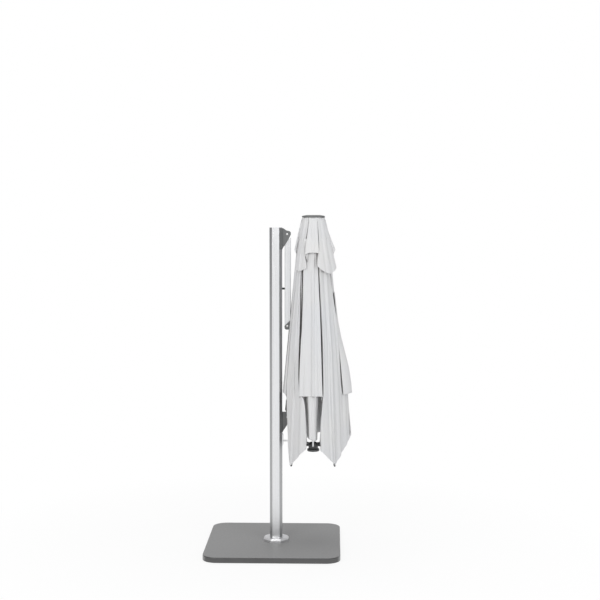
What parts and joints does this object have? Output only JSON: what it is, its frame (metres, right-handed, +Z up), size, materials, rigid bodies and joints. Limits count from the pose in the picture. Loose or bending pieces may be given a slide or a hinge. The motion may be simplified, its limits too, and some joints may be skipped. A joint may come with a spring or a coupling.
{
  "type": "cantilever parasol",
  "caption": "Free-standing cantilever parasol, shown closed: silver mast on a dark square base, folding boom and brace, square off-white canopy with a single vent hanging beside the mast.",
  "frame": {"origin": "on the ground under the mast's axis", "axes": "+X from the mast towards the closed canopy, +Z up"},
  "size_m": [1.2207, 1.16, 2.892],
  "materials": {
    "base_grey": "powder-coated dark grey sheet, fine texture",
    "steel_dark": "painted steel",
    "concrete": "cast concrete paving slab",
    "rubber": "matte black rubber",
    "steel_zinc": "zinc-plated steel",
    "anodised": "natural anodised extruded aluminium, satin",
    "polished": "bright turned aluminium",
    "pom": "self-lubricating plastic",
    "casting": "dark grey powder-coated casting",
    "rope": "braided polyester rope",
    "black_plastic": "black moulded plastic",
    "cloth": "off-white woven polyester awning cloth"
  },
  "bodies": {
    "base": {"base_cover": "base_grey", "base_tray": "steel_dark", "base_frame": "steel_dark", "ballast_slabs": "concrete", "base_feet": "rubber", "mast_spigot": "steel_zinc", "spigot_bolts": "steel_zinc"},
    "mast": {"mast_profile": "anodised", "mast_cap": "anodised", "foot_collar": "polished", "swivel_bushes": "pom", "head_bracket": "casting", "head_pin": "steel_zinc", "arm_bumper": "rubber", "winch_housing": "anodised", "pulley_axle": "steel_zinc", "lift_rope": "rope"},
    "crank": {"crank_shaft": "polished", "winch_drum": "pom", "crank_arm": "polished"},
    "grip": {"crank_grip": "black_plastic"},
    "pulley": {"head_pulley": "pom"},
    "brace": {"brace_profile": "anodised", "brace_ends": "casting"},
    "boom": {"boom_profile": "anodised", "boom_foot": "black_plastic", "boom_head": "casting", "boom_ear": "casting", "ear_pin": "steel_zinc"},
    "slider": {"slider_carriage": "casting", "slider_pin": "steel_zinc", "slider_key": "pom"},
    "hub": {"hub_casting": "casting", "hub_pin": "steel_zinc", "crown_cap": "casting"},
    "runner": {"runner": "casting"},
    "rib_1": {"rib_1": "anodised"},
    "strut_1": {"strut_1": "anodised"},
    "gore_1": {"canopy_gore_1": "cloth"},
    "rib_2": {"rib_2": "anodised"},
    "strut_2": {"strut_2": "anodised"},
    "gore_2": {"canopy_gore_2": "cloth"},
    "rib_3": {"rib_3": "anodised"},
    "strut_3": {"strut_3": "anodised"},
    "gore_3": {"canopy_gore_3": "cloth"},
    "rib_4": {"rib_4": "anodised"},
    "strut_4": {"strut_4": "anodised"},
    "gore_4": {"canopy_gore_4": "cloth"},
    "rib_5": {"rib_5": "anodised"},
    "strut_5": {"strut_5": "anodised"},
    "gore_5": {"canopy_gore_5": "cloth"},
    "rib_6": {"rib_6": "anodised"},
    "strut_6": {"strut_6": "anodised"},
    "gore_6": {"canopy_gore_6": "cloth"},
    "rib_7": {"rib_7": "anodised"},
    "strut_7": {"strut_7": "anodised"},
    "gore_7": {"canopy_gore_7": "cloth"},
    "rib_8": {"rib_8": "anodised"},
    "strut_8": {"strut_8": "anodised"},
    "gore_8": {"canopy_gore_8": "cloth"}
  },
  "joints": [
    {"name": "swivel", "type": "hinge", "parent": "base", "child": "mast", "pos_m": [0, 0, 0.3], "axis": [0, 0, 1], "continuous": true},
    {"name": "lift", "type": "hinge", "parent": "mast", "child": "brace", "pos_m": [0.098, 0, 2.729], "axis": [0, -1, 0], "range_deg": [0, 70]},
    {"name": "boom_fold", "type": "hinge", "parent": "brace", "child": "boom", "pos_m": [0.098, 0, 1.935], "axis": [0, 1, 0], "range_deg": [0, 140.02]},
    {"name": "slider_pivot", "type": "hinge", "parent": "boom", "child": "slider", "pos_m": [0.098, 0, 1.141], "axis": [0, 1, 0], "range_deg": [-70.02, 0]},
    {"name": "hub_pivot", "type": "hinge", "parent": "boom", "child": "hub", "pos_m": [0.26212, 0, 2.7999], "axis": [0, 1, 0], "range_deg": [-70.02, 0]},
    {"name": "crank_turn", "type": "hinge", "parent": "mast", "child": "crank", "pos_m": [0, 0, 0.929], "axis": [1, 0, 0], "range_deg": [-2920.35, 0]},
    {"name": "pulley_turn", "type": "hinge", "parent": "mast", "child": "pulley", "pos_m": [0.0165, 0, 2.69], "axis": [0, 1, 0], "range_deg": [0, 2217.3]},
    {"name": "grip_spin", "type": "hinge", "parent": "crank", "child": "grip", "pos_m": [0.15, 0, 0.825], "axis": [1, 0, 0], "continuous": true},
    {"name": "rib_1_open", "type": "hinge", "parent": "hub", "child": "rib_1", "pos_m": [0.414, 0, 2.84], "axis": [0, -1, 0], "range_deg": [0, 71.52]},
    {"name": "strut_1_open", "type": "hinge", "parent": "rib_1", "child": "strut_1", "pos_m": [0.5074, 0, 1.86999], "axis": [0, -1, 0], "range_deg": [-143.02, 0]},
    {"name": "gore_1_spread", "type": "hinge", "parent": "rib_1", "child": "gore_1", "pos_m": [0.41477, 0, 2.83203], "axis": [0.9954, 0, 0.0958], "range_deg": [0, 19.73]},
    {"name": "runner_slide", "type": "hinge", "parent": "strut_1", "child": "runner", "pos_m": [0.414, 0, 0.89997], "axis": [0, -1, 0], "range_deg": [0, 71.52]},
    {"name": "rib_2_open", "type": "hinge", "parent": "hub", "child": "rib_2", "pos_m": [0.38764, 0.06364, 2.84], "axis": [0.7071, -0.7071, 0], "range_deg": [0, 71.52]},
    {"name": "strut_2_open", "type": "hinge", "parent": "rib_2", "child": "strut_2", "pos_m": [0.45369, 0.12968, 1.86999], "axis": [0.7071, -0.7071, 0], "range_deg": [-143.02, 0]},
    {"name": "gore_2_spread", "type": "hinge", "parent": "rib_2", "child": "gore_2", "pos_m": [0.38818, 0.06418, 2.83203], "axis": [0.7039, 0.7039, 0.0958], "range_deg": [0, 19.73]},
    {"name": "rib_3_open", "type": "hinge", "parent": "hub", "child": "rib_3", "pos_m": [0.324, 0.09, 2.84], "axis": [1, 0, 0], "range_deg": [0, 71.52]},
    {"name": "strut_3_open", "type": "hinge", "parent": "rib_3", "child": "strut_3", "pos_m": [0.324, 0.1834, 1.86999], "axis": [1, 0, 0], "range_deg": [-143.02, 0]},
    {"name": "gore_3_spread", "type": "hinge", "parent": "rib_3", "child": "gore_3", "pos_m": [0.324, 0.09077, 2.83203], "axis": [0, 0.9954, 0.0958], "range_deg": [0, 19.73]},
    {"name": "rib_4_open", "type": "hinge", "parent": "hub", "child": "rib_4", "pos_m": [0.26036, 0.06364, 2.84], "axis": [0.7071, 0.7071, 0], "range_deg": [0, 71.52]},
    {"name": "strut_4_open", "type": "hinge", "parent": "rib_4", "child": "strut_4", "pos_m": [0.19431, 0.12968, 1.86999], "axis": [0.7071, 0.7071, 0], "range_deg": [-143.02, 0]},
    {"name": "gore_4_spread", "type": "hinge", "parent": "rib_4", "child": "gore_4", "pos_m": [0.25982, 0.06418, 2.83203], "axis": [-0.7039, 0.7039, 0.0958], "range_deg": [0, 19.73]},
    {"name": "rib_5_open", "type": "hinge", "parent": "hub", "child": "rib_5", "pos_m": [0.234, 0, 2.84], "axis": [0, 1, 0], "range_deg": [0, 71.52]},
    {"name": "strut_5_open", "type": "hinge", "parent": "rib_5", "child": "strut_5", "pos_m": [0.1406, 0, 1.86999], "axis": [0, 1, 0], "range_deg": [-143.02, 0]},
    {"name": "gore_5_spread", "type": "hinge", "parent": "rib_5", "child": "gore_5", "pos_m": [0.23323, 0, 2.83203], "axis": [-0.9954, 0, 0.0958], "range_deg": [0, 19.73]},
    {"name": "rib_6_open", "type": "hinge", "parent": "hub", "child": "rib_6", "pos_m": [0.26036, -0.06364, 2.84], "axis": [-0.7071, 0.7071, 0], "range_deg": [0, 71.52]},
    {"name": "strut_6_open", "type": "hinge", "parent": "rib_6", "child": "strut_6", "pos_m": [0.19431, -0.12968, 1.86999], "axis": [-0.7071, 0.7071, 0], "range_deg": [-143.02, 0]},
    {"name": "gore_6_spread", "type": "hinge", "parent": "rib_6", "child": "gore_6", "pos_m": [0.25982, -0.06418, 2.83203], "axis": [-0.7039, -0.7039, 0.0958], "range_deg": [0, 19.73]},
    {"name": "rib_7_open", "type": "hinge", "parent": "hub", "child": "rib_7", "pos_m": [0.324, -0.09, 2.84], "axis": [-1, 0, 0], "range_deg": [0, 71.52]},
    {"name": "strut_7_open", "type": "hinge", "parent": "rib_7", "child": "strut_7", "pos_m": [0.324, -0.1834, 1.86999], "axis": [-1, 0, 0], "range_deg": [-143.02, 0]},
    {"name": "gore_7_spread", "type": "hinge", "parent": "rib_7", "child": "gore_7", "pos_m": [0.324, -0.09077, 2.83203], "axis": [0, -0.9954, 0.0958], "range_deg": [0, 19.73]},
    {"name": "rib_8_open", "type": "hinge", "parent": "hub", "child": "rib_8", "pos_m": [0.38764, -0.06364, 2.84], "axis": [-0.7071, -0.7071, 0], "range_deg": [0, 71.52]},
    {"name": "strut_8_open", "type": "hinge", "parent": "rib_8", "child": "strut_8", "pos_m": [0.45369, -0.12968, 1.86999], "axis": [-0.7071, -0.7071, 0], "range_deg": [-143.02, 0]},
    {"name": "gore_8_spread", "type": "hinge", "parent": "rib_8", "child": "gore_8", "pos_m": [0.38818, -0.06418, 2.83203], "axis": [0.7039, -0.7039, 0.0958], "range_deg": [0, 19.73]}
  ],
  "couplings": [
    {"joint": "boom_fold", "follows": "lift", "ratio": 2},
    {"joint": "slider_pivot", "follows": "lift", "ratio": -1},
    {"joint": "hub_pivot", "follows": "lift", "ratio": -1},
    {"joint": "crank_turn", "follows": "lift", "ratio": -41.719},
    {"joint": "pulley_turn", "follows": "lift", "ratio": 31.675},
    {"joint": "rib_1_open", "follows": "lift", "ratio": 1.0214},
    {"joint": "strut_1_open", "follows": "lift", "ratio": -2.0429},
    {"joint": "gore_1_spread", "follows": "lift", "ratio": 0.28151},
    {"joint": "runner_slide", "follows": "lift", "ratio": 1.0214},
    {"joint": "rib_2_open", "follows": "lift", "ratio": 1.0214},
    {"joint": "strut_2_open", "follows": "lift", "ratio": -2.0429},
    {"joint": "gore_2_spread", "follows": "lift", "ratio": 0.28151},
    {"joint": "rib_3_open", "follows": "lift", "ratio": 1.0214},
    {"joint": "strut_3_open", "follows": "lift", "ratio": -2.0429},
    {"joint": "gore_3_spread", "follows": "lift", "ratio": 0.28151},
    {"joint": "rib_4_open", "follows": "lift", "ratio": 1.0214},
    {"joint": "strut_4_open", "follows": "lift", "ratio": -2.0429},
    {"joint": "gore_4_spread", "follows": "lift", "ratio": 0.28151},
    {"joint": "rib_5_open", "follows": "lift", "ratio": 1.0214},
    {"joint": "strut_5_open", "follows": "lift", "ratio": -2.0429},
    {"joint": "gore_5_spread", "follows": "lift", "ratio": 0.28151},
    {"joint": "rib_6_open", "follows": "lift", "ratio": 1.0214},
    {"joint": "strut_6_open", "follows": "lift", "ratio": -2.0429},
    {"joint": "gore_6_spread", "follows": "lift", "ratio": 0.28151},
    {"joint": "rib_7_open", "follows": "lift", "ratio": 1.0214},
    {"joint": "strut_7_open", "follows": "lift", "ratio": -2.0429},
    {"joint": "gore_7_spread", "follows": "lift", "ratio": 0.28151},
    {"joint": "rib_8_open", "follows": "lift", "ratio": 1.0214},
    {"joint": "strut_8_open", "follows": "lift", "ratio": -2.0429},
    {"joint": "gore_8_spread", "follows": "lift", "ratio": 0.28151}
  ]
}
